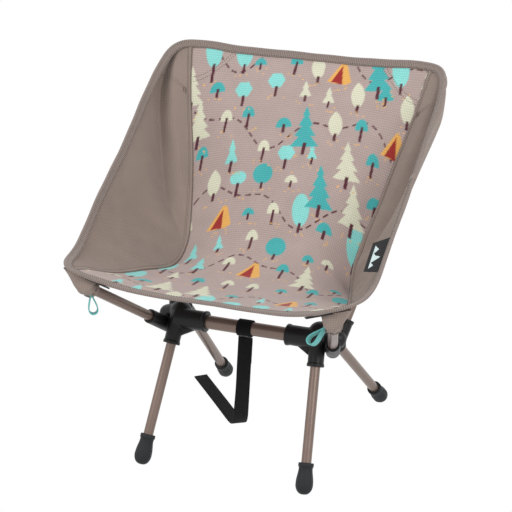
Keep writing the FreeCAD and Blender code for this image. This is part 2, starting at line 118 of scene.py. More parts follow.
class Nodes:
    """Short calls for adding nodes to one new material."""

    def __init__(self, name, colour, roughness, metallic=0.0):
        self.material = new_material(name, colour, roughness, metallic)
        self.tree = self.material.node_tree
        self.shader = self.tree.nodes["Principled BSDF"]
        coordinates = self.add("ShaderNodeTexCoord")
        self.uv, self.place = coordinates.outputs["UV"], coordinates.outputs["Object"]

    def add(self, kind, **values):
        node = self.tree.nodes.new(kind)
        for name, value in values.items():
            if name in node.inputs:
                node.inputs[name].default_value = value
            else:
                setattr(node, name, value)
        return node

    def link(self, start, end):
        self.tree.links.new(start, end)

    def math(self, operation, first, second):
        node = self.add("ShaderNodeMath", operation=operation)
        for socket, value in zip(node.inputs, (first, second)):
            if isinstance(value, (int, float)):
                socket.default_value = value
            else:
                self.link(value, socket)
        return node.outputs[0]

    def total(self, *parts):
        """The sum of sockets, each times its weight, given as pairs."""
        result = 0.0
        for socket, weight in parts:
            result = self.math("ADD", result, self.math("MULTIPLY", socket, weight))
        return result

    def noise(self, scale, detail):
        """Noise over the object's own coordinates."""
        node = self.add("ShaderNodeTexNoise", Scale=scale, Detail=detail)
        self.link(self.place, node.inputs["Vector"])
        return node.outputs["Fac"]

    def bands(self, axis, pitch):
        """Sine bands from 0 to 1 across one axis of the UV map, one every pitch metres."""
        split = self.add("ShaderNodeSeparateXYZ")
        self.link(self.uv, split.inputs[0])
        wave = self.math("SINE", self.math("MULTIPLY", split.outputs[axis], 2 * math.pi / pitch), 0)
        return self.math("ADD", self.math("MULTIPLY", wave, 0.5), 0.5)

    def bump(self, height, strength, distance):
        node = self.add("ShaderNodeBump", Strength=strength, Distance=distance)
        self.link(height, node.inputs["Height"])
        self.link(node.outputs["Normal"], self.shader.inputs["Normal"])

    def tinted(self, base, dark, light, factor):
        """Base colour, a socket or a colour, multiplied by a grey between dark and light."""
        scale = self.math("ADD", self.math("MULTIPLY", factor, light - dark), dark)
        mix = self.add("ShaderNodeMix", data_type="RGBA", blend_type="MULTIPLY")
        mix.inputs["Factor"].default_value = 1.0
        if isinstance(base, tuple):
            mix.inputs["A"].default_value = (*base, 1)
        else:
            self.link(base, mix.inputs["A"])
        grey = self.add("ShaderNodeCombineColor")
        for socket in grey.inputs:
            self.link(scale, socket)
        self.link(grey.outputs[0], mix.inputs["B"])
        self.link(mix.outputs["Result"], self.shader.inputs["Base Color"])

    def finish(self, sheen, specular):
        """How much fuzz catches the light, and how much the surface shines."""
        self.shader.inputs["Sheen Weight"].default_value = sheen
        self.shader.inputs["Specular IOR Level"].default_value = specular


def weave_material(name, colour, pitch, sheen=0.15, painted=None, depth=0.35, roughness=0.85):
    """Plain-woven cloth: threads over and under in both directions, with uneven dye."""
    nodes = Nodes(name, colour, roughness)
    threads = nodes.math("MULTIPLY", nodes.bands(0, pitch), nodes.bands(1, pitch * 1.25))
    fibres = nodes.noise(2600, 2)
    base = colour
    if painted:
        base = nodes.add("ShaderNodeAttribute", attribute_name=painted).outputs["Color"]
    shade = nodes.total((threads, 0.55), (nodes.noise(38, 5), 0.30), (fibres, 0.24))
    nodes.tinted(base, 0.66, 1.28, shade)
    nodes.bump(nodes.total((threads, 1.0), (fibres, 0.5)), depth, 0.0004)
    nodes.finish(sheen, 0.25)
    return nodes.material


def ribbed_material(name, colour, pitch):
    """Grosgrain tape: ribs across the tape's length."""
    nodes = Nodes(name, colour, 0.88)
    ribs, fibres = nodes.bands(0, pitch), nodes.noise(1800, 3)
    threads = nodes.math("MULTIPLY", nodes.bands(1, 0.0009), fibres)
    nodes.tinted(colour, 0.48, 1.22, nodes.total((ribs, 0.62), (fibres, 0.38)))
    nodes.bump(nodes.total((ribs, 1.0), (threads, 0.5)), 0.8, 0.0006)
    nodes.finish(0.2, 0.2)
    return nodes.material


def pile_material():
    """Hook-and-loop webbing: a fuzzy black pile."""
    colour = (0.0045, 0.0045, 0.005)
    nodes = Nodes("strap_pile", colour, 0.95)
    loops = nodes.noise(1500, 4)
    nodes.tinted(colour, 0.4, 2.4, nodes.total((loops, 0.5), (nodes.noise(130, 3), 0.5)))
    nodes.bump(loops, 0.8, 0.0006)
    nodes.finish(0.03, 0.1)
    return nodes.material


def plastic_material(name, colour, roughness, grain=900):
    """Moulded nylon or rubber: a fine spark-eroded grain, rubbed a little lighter on the edges."""
    nodes = Nodes(name, colour, roughness)
    patches = nodes.noise(60, 4)
    ramp = nodes.add("ShaderNodeValToRGB")
    ramp.color_ramp.elements[0].position = 0.52
    ramp.color_ramp.elements[1].position = 0.62
    nodes.link(nodes.add("ShaderNodeNewGeometry").outputs["Pointiness"], ramp.inputs["Fac"])
    worn = nodes.math("MULTIPLY", ramp.outputs["Color"], patches)
    nodes.tinted(colour, 0.75, 2.0, nodes.total((worn, 0.4), (patches, 0.4)))
    rough = nodes.math("ADD", nodes.math("MULTIPLY", patches, 0.22), roughness - 0.11)
    nodes.link(rough, nodes.shader.inputs["Roughness"])
    nodes.bump(nodes.noise(grain, 3), 0.22, 0.0003)
    nodes.finish(0.0, 0.28)
    return nodes.material


def tube_material():
    """Taupe anodised aluminium with a few faint handling marks."""
    colour = linear(132, 114, 105)
    nodes = Nodes("anodised_taupe", colour, 0.33, metallic=0.72)
    fine, marks = nodes.noise(420, 4), nodes.noise(45, 5)
    nodes.tinted(colour, 0.86, 1.12, marks)
    rough = nodes.math("ADD", nodes.total((marks, 0.16), (fine, 0.08)), 0.22)
    nodes.link(rough, nodes.shader.inputs["Roughness"])
    nodes.bump(fine, 0.05, 0.0002)
    return nodes.material


# -------- mesh tools

def new_piece(name, shape, material, body="chair", smooth=True, closed=True, uv=None):
    """A mesh object from vertices in millimetres and faces; a closed one gets outward normals."""
    vertices, faces = shape
    mesh = bpy.data.meshes.new(name)
    mesh.from_pydata((np.asarray(vertices, float) * MM).tolist(), [], faces)
    mesh.update()
    piece = bpy.data.objects.new(name, mesh)
    bpy.context.scene.collection.objects.link(piece)
    finish_piece(piece, material, body, smooth)
    if closed:
        outward(piece)
    if uv is not None:
        set_uv(piece, uv)
    return piece


def finish_piece(piece, material, body, smooth=True):
    """The shading, the material, and what the piece rides on."""
    piece.data.materials.clear()
    piece.data.materials.append(material)
    if smooth:
        piece.data.shade_smooth()
    else:
        piece.data.shade_flat()
    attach(piece, body)


def outward(piece):
    """Makes a closed mesh's faces point outwards."""
    work = bmesh.new()
    work.from_mesh(piece.data)
    bmesh.ops.recalc_face_normals(work, faces=work.faces)
    work.to_mesh(piece.data)
    work.free()


def set_uv(piece, uv_of_vertex):
    """A UV map from one pair per vertex, in metres."""
    layer = piece.data.uv_layers.new(name="UVMap")
    corners = np.zeros(len(piece.data.loops), dtype=np.int64)
    piece.data.loops.foreach_get("vertex_index", corners)
    layer.data.foreach_set("uv", np.asarray(uv_of_vertex, float)[corners].ravel())


def grid_faces(rows, columns, wrap=False, first=0, flip=False):
    """Quads of a grid of vertices stored row by row; wrap joins the last column to the first."""
    faces = []
    for row in range(rows - 1):
        for column in range(columns if wrap else columns - 1):
            after = (column + 1) % columns
            a, b = first + row * columns + column, first + row * columns + after
            quad = (a, b, b + columns, a + columns)
            faces.append(quad[::-1] if flip else quad)
    return faces


def unit(vectors):
    """Vectors scaled to length 1."""
    vectors = np.asarray(vectors, float)
    return vectors / np.maximum(np.linalg.norm(vectors, axis=-1, keepdims=True), 1e-12)


def distances(points):
    """How far along a line each of its points lies."""
    return np.r_[0, np.cumsum(np.linalg.norm(np.diff(points, axis=0), axis=1))]


def spline(points, count):
    """Points evenly spaced along a smooth curve through the given points (natural cubic)."""
    points = np.asarray(points, float)
    knots = distances(points)
    gaps = np.diff(knots)
    n = len(points)
    matrix, right = np.eye(n), np.zeros_like(points)
    for i in range(1, n - 1):
        matrix[i, i - 1:i + 2] = gaps[i - 1], 2 * (gaps[i - 1] + gaps[i]), gaps[i]
        right[i] = 6 * ((points[i + 1] - points[i]) / gaps[i] - (points[i] - points[i - 1]) / gaps[i - 1])
    curvature = np.linalg.solve(matrix, right)
    fine = np.linspace(0, knots[-1], 60 * n)
    span = np.clip(np.searchsorted(knots, fine, side="right") - 1, 0, n - 2)
    h = gaps[span][:, None]
    a = (knots[span + 1] - fine)[:, None]
    b = (fine - knots[span])[:, None]
    curve = (curvature[span] * a ** 3 + curvature[span + 1] * b ** 3) / (6 * h)
    curve += (points[span] / h - curvature[span] * h / 6) * a
    curve += (points[span + 1] / h - curvature[span + 1] * h / 6) * b
    return evenly(curve, count)


def between(at, known, points):
    """Points in between the given ones, which lie at the known values."""
    return np.stack([np.interp(at, known, points[:, k]) for k in range(3)], -1)


def evenly(curve, count):
    """A polyline's points spaced evenly along its length."""
    length = distances(curve)
    return between(np.linspace(0, length[-1], count), length, curve)


def off_face(line, across):
    """Directions off the face of a band that runs along a line."""
    return unit(np.cross(unit(np.gradient(line, axis=0)), across))


def sweep(line, across, up, profile, closed=False):
    """Vertices of a profile of (across, up) pairs carried along a line, and its faces."""
    profile = np.asarray(profile, float)
    vertices = (line[:, None, :] + across[:, None, :] * profile[None, :, 0, None]
                + up[:, None, :] * profile[None, :, 1, None]).reshape(-1, 3)
    rows, columns = len(line), len(profile)
    faces = grid_faces(rows, columns, wrap=True)
    if closed:
        last = (rows - 1) * columns
        faces += [(last + c, last + (c + 1) % columns, (c + 1) % columns, c) for c in range(columns)]
    else:
        faces.append(tuple(range(columns))[::-1])
        faces.append(tuple((rows - 1) * columns + c for c in range(columns)))
    return vertices, faces


def flat_profile(width, thickness, sides=4):
    """A flat tape's section, with rounded edges."""
    half, radius = width / 2 - thickness / 2, thickness / 2
    turn = np.linspace(-math.pi / 2, math.pi / 2, sides + 1)
    right = [(half + radius * math.cos(a), radius * math.sin(a)) for a in turn]
    inner = [(x, radius) for x in np.linspace(half, -half, 7)[1:-1]]
    left = [(-x, -y) for x, y in right]
    return right + inner + left + [(-x, -y) for x, y in inner]


def lathe(profile, start, direction, steps=48):
    """A surface of revolution: profile holds (distance along the axis, radius) pairs."""
    direction = unit(direction)
    side = unit(np.cross(direction, (0.3, 1, 0.2)))
    other = np.cross(direction, side)
    turn = np.linspace(0, 2 * math.pi, steps, endpoint=False)
    ring = np.cos(turn)[:, None] * side + np.sin(turn)[:, None] * other
    vertices = np.concatenate([np.asarray(start) + direction * d + ring * r for d, r in profile])
    faces = grid_faces(len(profile), steps, wrap=True)
    faces.append(tuple(range(steps))[::-1])
    faces.append(tuple((len(profile) - 1) * steps + c for c in range(steps)))
    return vertices, faces


# -------- lines of the frame, in mm

LEG_MEET = np.array((96.7, -31.9, 195.4))
POLE_MEET = np.array((111.0, -19.0, 150.0))
FRONT_FOOT = np.array((113.0, -127.5, 12.0))
REAR_FOOT = np.array((118.0, 166.5, 12.0))
SEAT_TIP = np.array((166.0, -178.5, 264.0))
BACK_TIP = np.array((188.0, 182.5, 478.0))


def on_side(point, side):
    """A point or points of the right side, mirrored for the left."""
    return np.asarray(point, float) * (side, 1, 1)


# -------- lines of the sling, in mm

def front_edge(x):
    """A point of the front edge: between the corners it dips and draws back."""
    return np.array((x, -155.5 - 35 * (x / 170) ** 2, 253.5 + 31 * abs(x / 170) ** 3))


def top_edge(x):
    """A point of the top edge."""
    return np.array((x, 190.5 - 6 * (x / 170) ** 2, 487 + 5 * (x / 170) ** 2))


FRONT_CORNER = [(181, -187.5, 287.5), (188.5, -178.5, 289), (194.5, -161, 289)]
SIDE_EDGE = [(199, -128.5, 294), (200.5, -82.5, 322), (201, -10.5, 367), (201, 69.5, 422)]
TOP_CORNER = [(200, 143, 471.5), (195, 164, 484), (183, 178.5, 490.5)]
CENTRE_LINE = [tuple(front_edge(0)), (0, -90.5, 242), (0, -50.5, 239), (0, -15.5, 243), (0, 19.5, 257),
               (0, 47.5, 284), (0, 87.5, 343), (0, 137.5, 414), tuple(top_edge(0))]
SEAM_LINE = [tuple(front_edge(173)), (170, -152.5, 274), (161, -120.5, 260), (150, -80.5, 247),
             (137, -35.5, 237), (122, 14.5, 232), (118, 33.5, 247), (122, 59.5, 280), (131, 86.5, 314),
             (142, 114.5, 362), (157, 144.5, 418), tuple(top_edge(171))]
EDGE_HALF = ([front_edge(x) for x in (0, 60, 115, 150, 170)] + FRONT_CORNER + SIDE_EDGE + TOP_CORNER
             + [top_edge(x) for x in (165, 110, 55, 0)])
RIM_LINE = FRONT_CORNER + SIDE_EDGE + TOP_CORNER + [tuple(top_edge(174))]
PANEL_LENGTH = 466.0


def fade(value, start, end):
    """0 before start, 1 after end, smooth between; start may be the larger."""
    share = np.clip((np.asarray(value, float) - start) / (end - start), 0, 1)
    return share * share * (3 - 2 * share)


def ripples(u, v, seed, count, reach):
    """A sum of a few random soft waves over u and v."""
    source = np.random.default_rng(seed)
    total = np.zeros(np.broadcast(u, v).shape)
    for _ in range(count):
        a, b, phase = source.uniform(-reach, reach), source.uniform(-reach, reach), source.uniform(0, 6.3)
        total = total + np.sin(a * u + b * v + phase)
    return total / math.sqrt(count)


CURVE_POINTS = 400


def curve_at(line, along):
    """Points of the smooth curve through a line's points, at shares of its length."""
    at = np.asarray(along) * (CURVE_POINTS - 1)
    return between(at, np.arange(CURVE_POINTS), spline(line, CURVE_POINTS))


def centre_surface(across, along):
    """The centre panel's mid surface: across from -1 to 1, along from 0 at the front to 1."""
    middle, side = curve_at(CENTRE_LINE, along), curve_at(SEAM_LINE, along)
    share = np.asarray(across)
    x = share * side[..., 0]
    y = middle[..., 1] + (side[..., 1] - middle[..., 1]) * share ** 2
    z = middle[..., 2] + (side[..., 2] - middle[..., 2]) * np.abs(share) ** 2.6
    return np.stack([x, y, z], -1)


def centre_relief(across, along):
    """How far the cloth stands out from the mid surface: soft pulls from the corners and the bend."""
    share, along = np.asarray(across), np.asarray(along)
    edge = fade(along, 0.0, 0.08) * fade(along, 1.0, 0.94) * fade(np.abs(share), 1.0, 0.9)
    soft = 0.8 * ripples(share * 1.0, along * 1.6, 3, 6, 5.0)
    drape = np.zeros_like(soft)
    for centre_x, centre_v, tilt, width, height in (
            (-0.62, 0.47, 0.5, 0.045, 1.6), (0.60, 0.46, -0.6, 0.05, 1.8), (-0.35, 0.74, 1.4, 0.05, 1.3),
            (0.42, 0.70, -1.2, 0.05, 1.4), (0.72, 0.40, -0.3, 0.03, 1.5), (-0.75, 0.80, 0.9, 0.04, 1.2),
            (0.0, 0.36, 0.02, 0.05, 1.2), (0.78, 0.86, -1.6, 0.04, 1.2)):
        offset = (along - centre_v) - tilt * (share - centre_x) * 0.35
        reach = np.exp(-((share - centre_x) / 0.30) ** 2)
        drape = drape + height * np.exp(-(offset / width) ** 2) * reach
    return (soft + drape) * edge


def side_surface(inner, along):
    """A right side panel's mid surface: inner 0 at the seam to 1 at the rim, along from the front."""
    first, last = curve_at(SEAM_LINE, along), curve_at(RIM_LINE, along)
    return first + (last - first) * np.asarray(inner)[..., None]


def side_relief(inner, along):
    """The long fold from the back corner to the seat's rear corner, and the pulls beside it."""
    inner, along = np.asarray(inner), np.asarray(along)
    height = fade(along, 0.44, 0.58) * fade(along, 0.99, 0.80)
    fold_at = np.clip(0.10 + 1.58 * (along - 0.46), 0.10, 0.95)
    offset = inner - fold_at
    width, power = np.where(offset > 0, 0.26, 0.10), np.where(offset > 0, 1.4, 1.6)
    valley = np.exp(-np.abs(offset / width) ** power)
    edges = fade(inner, 0.0, 0.06) * fade(inner, 1.0, 0.90)
    pulls = 0.9 * np.sin(along * 95 + inner * 9) * np.exp(-((inner - 0.25) / 0.22) ** 2)
    pulls = pulls * fade(along, 0.10, 0.30) * fade(along, 0.62, 0.46)
    soft = 0.9 * ripples(inner * 2.0, along * 5, 11, 6, 3.0)
    hollow = 5.0 * np.sin(np.pi * np.clip(inner, 0, 1)) * fade(along, 0.04, 0.2) * fade(along, 0.96, 0.7)
    return (pulls + soft - hollow - 19.0 * valley * height) * edges


def surface_grid(surface, relief, across, along, lift=0.0):
    """Points of a relief over a surface, moved lift mm along its normal, and the normals."""
    base = surface(across, along)
    step = 1e-3
    du = surface(across + step, along) - surface(across - step, along)
    dv = surface(across, along + step) - surface(across, along - step)
    normal = unit(np.cross(du, dv))
    return base + normal * (relief(across, along) + lift)[..., None], normal


# -------- the print

GROUND = linear(176, 157, 152)
TEAL, AQUA, CREAM = linear(70, 172, 172), linear(138, 214, 208), linear(214, 213, 189)
TRUNK, DOTS = linear(84, 38, 48), linear(226, 178, 112)
TENT_RED, TENT_YELLOW = linear(158, 44, 40), linear(228, 172, 92)
LEAN, TRUNK_LEAN = 0.13, -0.13


def ellipse(x, y, width, height, start=0.0, end=2 * math.pi, count=28):
    turn = np.linspace(start, end, count)
    return np.stack([x + width / 2 * np.cos(turn), y + height / 2 * np.sin(turn)], 1)


def tiers(width, height, count):
    """A conifer's saw-tooth outline."""
    right = [(0.0, height)]
    for tier in range(count):
        reach = width / 2 * (tier + 1.1) / (count + 0.1)
        low = height * (1 - (tier + 1) / count)
        right += [(reach, low + 1.0), (reach * 0.55, low + 0.4)]
    right[-1] = (right[-1][0] * 0.4, 0.0)
    return np.array(right + [(-x, y) for x, y in right[::-1][:-1]])


def crown(kind, width, height):
    """The outline of a tree's crown, its foot at the origin."""
    if kind == "pine":
        return tiers(width, height, 4)
    if kind == "small_pine":
        return tiers(width, height, 2)
    if kind == "dome":
        return ellipse(0, 0, width, 2 * height, 0, math.pi)
    if kind == "hexagon":
        return ellipse(0, height / 2, width, height * 1.1, 0, 2 * math.pi, 7)
    if kind == "leaf":
        turn = np.linspace(0, 2 * math.pi, 30)
        narrow = np.where(np.sin(turn) > 0, 1 - 0.55 * np.sin(turn) ** 2, 1)
        return np.stack([width / 2 * np.cos(turn) * narrow, height / 2 * (1 + np.sin(turn))], 1)
    return ellipse(0, height / 2, width, height)


TREES = {
    # kind: crown kind, colour, width, height, trunk length, trunk width
    "cream_pine": ("pine", CREAM, 38, 50, 14, 4.6), "teal_pine": ("pine", TEAL, 40, 58, 14, 4.6),
    "cream_sapling": ("small_pine", CREAM, 17, 23, 9, 3.2), "arrow": ("small_pine", AQUA, 19, 34, 17, 4.2),
    "small_arrow": ("small_pine", AQUA, 14, 23, 9, 3.4), "dome": ("dome", TEAL, 22, 14, 10, 4.0),
    "small_dome": ("dome", TEAL, 17, 10, 8, 3.2), "tall_dome": ("dome", TEAL, 18, 15, 19, 3.6),
    "cream_dome": ("dome", CREAM, 17, 15, 20, 3.4), "low_cream": ("dome", CREAM, 18, 10, 9, 3.2),
    "hexagon": ("hexagon", AQUA, 25, 21, 16, 3.8), "leaf": ("leaf", AQUA, 24, 48, 25, 4.2),
    "round": ("round", TEAL, 28, 28, 9, 3.4), "aqua_round": ("round", AQUA, 23, 18, 21, 4.0),
    "oval": ("oval", AQUA, 24, 44, 12, 3.8), "cream_oval": ("leaf", CREAM, 19, 34, 9, 4.0),
}
ROW_STEP, TREE_STEP = 43.0, 39.0
PATH_STEP, PATH_SWING = 104.0, 21.0
DASH_STEP, TENT_EVERY = 13.5, 17
PRINT_HALF_WIDTH = 178.0


def scattered_motifs():
    """Kinds and places in mm: staggered rows from the front edge up, each place a little off its row."""
    kinds = sorted(TREES)
    slot = 0
    for row in range(int(PANEL_LENGTH / ROW_STEP) + 1):
        start = -PRINT_HALF_WIDTH + (row % 2) * TREE_STEP / 2
        for x in np.arange(start, PRINT_HALF_WIDTH, TREE_STEP):
            slot += 1
            place = (x + rng.uniform(-8, 8), (row + 0.5) * ROW_STEP + rng.uniform(-9, 9))
            kind = "tent" if slot % TENT_EVERY == 0 else kinds[rng.integers(len(kinds))]
            yield kind, place


def winding_paths():
    """Dashed paths that wander across the cloth, one above another."""
    across = np.linspace(-PRINT_HALF_WIDTH, PRINT_HALF_WIDTH, 24)
    for path in range(int(PANEL_LENGTH / PATH_STEP) + 1):
        phase = 1.9 * path
        swing = np.sin(across / 34 + phase) + 0.5 * np.sin(across / 15 - phase)
        yield zip(across, (path + 0.45) * PATH_STEP + PATH_SWING * swing)


class Print:
    """Colours painted on points given by their place on the cloth, in mm."""

    def __init__(self, places):
        self.places = places
        self.colours = np.tile(GROUND, (len(places), 1))
        self.edge = 0.7

    def paint(self, outline, colour):
        """Fills a closed outline, with an edge as soft as the cloth's grain."""
        low, high = outline.min(0) - 1, outline.max(0) + 1
        near = np.nonzero(((self.places > low) & (self.places < high)).all(1))[0]
        if len(near) == 0:
            return
        p = self.places[near]
        start, end = outline, np.roll(outline, -1, 0)
        inside = np.zeros(len(near), bool)
        nearest = np.full(len(near), 1e9)
        for a, b in zip(start, end):
            along = b - a
            share = np.clip(((p - a) @ along) / max(along @ along, 1e-9), 0, 1)
            nearest = np.minimum(nearest, np.linalg.norm(p - a - share[:, None] * along, axis=1))
            crosses = (a[1] > p[:, 1]) != (b[1] > p[:, 1])
            at = a[0] + (p[:, 1] - a[1]) * along[0] / (along[1] if abs(along[1]) > 1e-9 else 1e-9)
            inside ^= crosses & (p[:, 0] < at)
        cover = np.clip(0.5 + np.where(inside, nearest, -nearest) / self.edge, 0, 1)[:, None]
        self.colours[near] = self.colours[near] * (1 - cover) + np.array(colour) * cover

    def stroke(self, a, b, width, colour):
        """A short straight stroke."""
        a, b = np.asarray(a, float), np.asarray(b, float)
        side = np.array([-(b - a)[1], (b - a)[0]])
        side = side / max(np.linalg.norm(side), 1e-9) * width / 2
        self.paint(np.array([a + side, b + side, b - side, a - side]), colour)

    def tree(self, kind, x, y, tilt):
        shape, colour, width, height, trunk, thickness = TREES[kind]
        turn = np.array([[math.cos(tilt), -math.sin(tilt)], [math.sin(tilt), math.cos(tilt)]])
        base = np.array([x, y]) + turn @ np.array([0, (trunk - height) / 2])
        self.paint(crown(shape, width, height) @ turn.T + base, colour)
        inside = 0.30 * height if shape == "dome" else 0.10 * height
        up = np.array([-math.sin(tilt + TRUNK_LEAN), math.cos(tilt + TRUNK_LEAN)])
        foot = base - up * trunk * 0.8
        self.stroke(foot, base + up * inside, thickness, TRUNK)
        for _ in range(4):
            mark = foot + rng.uniform((-13, -6), (13, 2))
            self.stroke(mark, mark + (2.6, rng.uniform(-0.5, 0.5)), 1.5, DOTS)

    def tent(self, x, y):
        place = np.array([x, y])
        self.paint(np.array([(-17, -14), (0, 16), (6, 15), (17, -11), (9, -16)]) + place, TENT_YELLOW)
        self.paint(np.array([(-11, -13.6), (1, 11), (5, -15.5)]) + place, TENT_RED)
        for _ in range(5):
            mark = place + rng.uniform((-14, -25), (14, -18))
            self.stroke(mark, mark + (2.6, 0), 1.5, DOTS)

    def trail(self, points):
        """A dashed path."""
        line = spline([(x, y, 0) for x, y in points], 400)[:, :2]
        dashes = max(2, int(distances(line)[-1] / DASH_STEP))
        for dash in range(dashes):
            first = line[int(400 * (dash + 0.18) / dashes)]
            last = line[min(399, int(400 * (dash + 0.78) / dashes))]
            self.stroke(first, last, 2.1, TRUNK)


def printed_colours(places):
    """The whole print: paths first, then trees and tents over them."""
    cloth = Print(places)
    for path in winding_paths():
        cloth.trail(path)
    for kind, (x, y) in scattered_motifs():
        if kind == "tent":
            cloth.tent(x, y)
        else:
            cloth.tree(kind, x, y, LEAN + rng.uniform(-0.05, 0.05))
    return cloth.colours


def store_colours(piece, name, colours):
    layer = piece.data.color_attributes.new(name, "FLOAT_COLOR", "POINT")
    layer.data.foreach_set("color", np.c_[colours, np.ones(len(colours))].ravel())


# -------- the sling

CLOTH = 0.9
SIDE_WEAVE_LENGTH = 640.0
SEAM_WIDTH = 8.5


def lay_sheet(piece, points, replaced):
    """Hides the frame part that the cloth replaces, and measures the cloth's flat width and length over its
    grid of points.
    """
    width = np.linalg.norm(np.diff(points, axis=1), axis=-1).sum(1).max() * MM
    length = np.linalg.norm(np.diff(points, axis=0), axis=-1).sum(0).max() * MM
    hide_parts(replaced)


def centre_cloth(name, rows, columns, lift, material, flip=False):
    """One face of the centre panel, its points, and their places on the flat cloth in mm."""
    across, along = np.meshgrid(np.linspace(-1, 1, columns), np.linspace(0, 1, rows))
    points, _ = surface_grid(centre_surface, centre_relief, across, along, lift)
    flat = np.stack([points[..., 0], along * PANEL_LENGTH], -1).reshape(-1, 2)
    shape = points.reshape(-1, 3), grid_faces(rows, columns, flip=flip)
    piece = new_piece(name, shape, material, closed=False, uv=flat * MM)
    return piece, points, flat


def make_centre_panel(material):
    """The printed panel: a fine grid, so that the print's edges are crisp."""
    piece, points, flat = centre_cloth("centre_panel_print", 310, 230, 0.0, material)
    store_colours(piece, "print", printed_colours(flat))
    lay_sheet(piece, points, "centre_panel")


def make_lining(material):
    """The panel's plain underside."""
    centre_cloth("centre_panel_underside", 90, 60, -CLOTH, material, flip=True)


def side_points(side, inner, along, lift=0.0):
    """Points and normals of one side panel's inner face; the normal points into the seat."""
    points, normal = surface_grid(side_surface, side_relief, inner, along, lift)
    return points * (side, 1, 1), normal * (side, 1, 1)


def closed_patch(name, face, back, flat, material):
    """A thin closed piece between two grids of points, with one flat map for both faces."""
    rows, columns = face.shape[:2]
    count = rows * columns
    number = np.arange(count).reshape(rows, columns)
    border = np.r_[number[0], number[1:, -1], number[-1, -2::-1], number[-2:0:-1, 0]].tolist()
    faces = grid_faces(rows, columns) + grid_faces(rows, columns, first=count, flip=True)
    faces += [(a, a + count, b + count, b) for a, b in zip(border, border[1:] + border[:1])]
    vertices = np.concatenate([face.reshape(-1, 3), back.reshape(-1, 3)])
    flat = flat.reshape(-1, 2) * MM
    return new_piece(name, (vertices, faces), material, uv=np.concatenate([flat, flat]))


def make_side_panel(name, side, material):
    inner, along = np.meshgrid(np.linspace(0, 1, 70), np.linspace(0, 1, 200))
    face, _ = side_points(side, inner, along)
    back, _ = side_points(side, inner, along, -CLOTH)
    flat = np.stack([np.linalg.norm(face - face[:, :1], axis=-1), along * SIDE_WEAVE_LENGTH], -1)
    piece = closed_patch("side_panel_cloth_" + name, face, back, flat, material)
    lay_sheet(piece, face, "side_panel_" + name)


def edge_loop(count):
    """The sling's closed edge line, and directions inward in the cloth and off its face."""
    half = spline(EDGE_HALF, count // 2 + 1)
    line = np.concatenate([half, (half * (-1, 1, 1))[::-1][1:-1]])
    across, along = np.meshgrid(np.linspace(-1, 1, 61), np.linspace(0, 1, 61))
    inner, length = np.meshgrid(np.linspace(0, 1, 31), np.linspace(0, 1, 81))
    cloth = [centre_surface(across, along).reshape(-1, 3)]
    cloth += [(side_surface(inner, length) * (side, 1, 1)).reshape(-1, 3) for side in (-1, 1)]
    cloth = np.concatenate(cloth)
    tangent = unit(np.roll(line, -1, 0) - np.roll(line, 1, 0))
    inward = np.zeros_like(line)
    for index, point in enumerate(line):
        distance = np.linalg.norm(cloth - point, axis=1)
        near = cloth[(distance > 8) & (distance < 26)]
        inward[index] = near.mean(0) - point
    for _ in range(14):
        inward = (np.roll(inward, 1, 0) + 2 * inward + np.roll(inward, -1, 0)) / 4
    inward = unit(inward - tangent * (inward * tangent).sum(1, keepdims=True))
    return line, inward, np.cross(tangent, inward)


BINDING_WIDTH, BINDING_REACH = 11.5, 3.0


def make_binding(material, thread):
    """The folded ribbed tape round the whole edge, its stitches, and its lapped join."""
    line, inward, off = edge_loop(2400)
    length = distances(line)
    turn = np.linspace(math.pi / 2, 3 * math.pi / 2, 9)
    inner_end = BINDING_WIDTH - BINDING_REACH
    profile = [(-BINDING_REACH + 2.1 + 2.1 * math.cos(a), 2.1 * math.sin(a)) for a in turn]
    profile += [(x, -1.9 + 0.04 * x) for x in np.linspace(1.5, inner_end - 0.5, 5)]
    profile += [(inner_end, -0.9), (inner_end, 0.9)]
    profile += [(x, 1.9 - 0.04 * x) for x in np.linspace(inner_end - 0.5, 1.5, 5)]
    profile = np.array(profile)
    ribs = 0.16 * np.sin(2 * math.pi * length / 2.6) + 0.25 * np.sin(length / 31) * np.sin(length / 17)
    puckers = 0.35 * np.sin(length / 23) + 0.2 * np.sin(length / 9)
    depth = profile[None, :, 0] + puckers[:, None]
    height = profile[None, :, 1] * (1 + 0.5 * ribs[:, None] / 1.9)
    points = line[:, None] + inward[:, None] * depth[..., None] + off[:, None] * height[..., None]
    _, faces = sweep(line, inward, off, profile, closed=True)
    piece = new_piece("edge_binding_tape", (points.reshape(-1, 3), faces), material,
                      uv=flat_map(length, distances(profile)))
    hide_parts("edge_binding")
    row = line + inward * (inner_end - 1.6)
    for face, name in ((1, "inside"), (-1, "outside")):
        stitches("binding_stitches_" + name, [(row + off * face * 1.75, off * face)], thread)
    join = int(len(line) * 0.265)
    lap = slice(join, join + 14)
    thicker = [(x * 1.02 + 0.1 * np.sign(x), y * 1.3 + 0.5 * np.sign(y)) for x, y in profile]
    new_piece("edge_binding_lap", sweep(line[lap], inward[lap], off[lap], thicker), material)


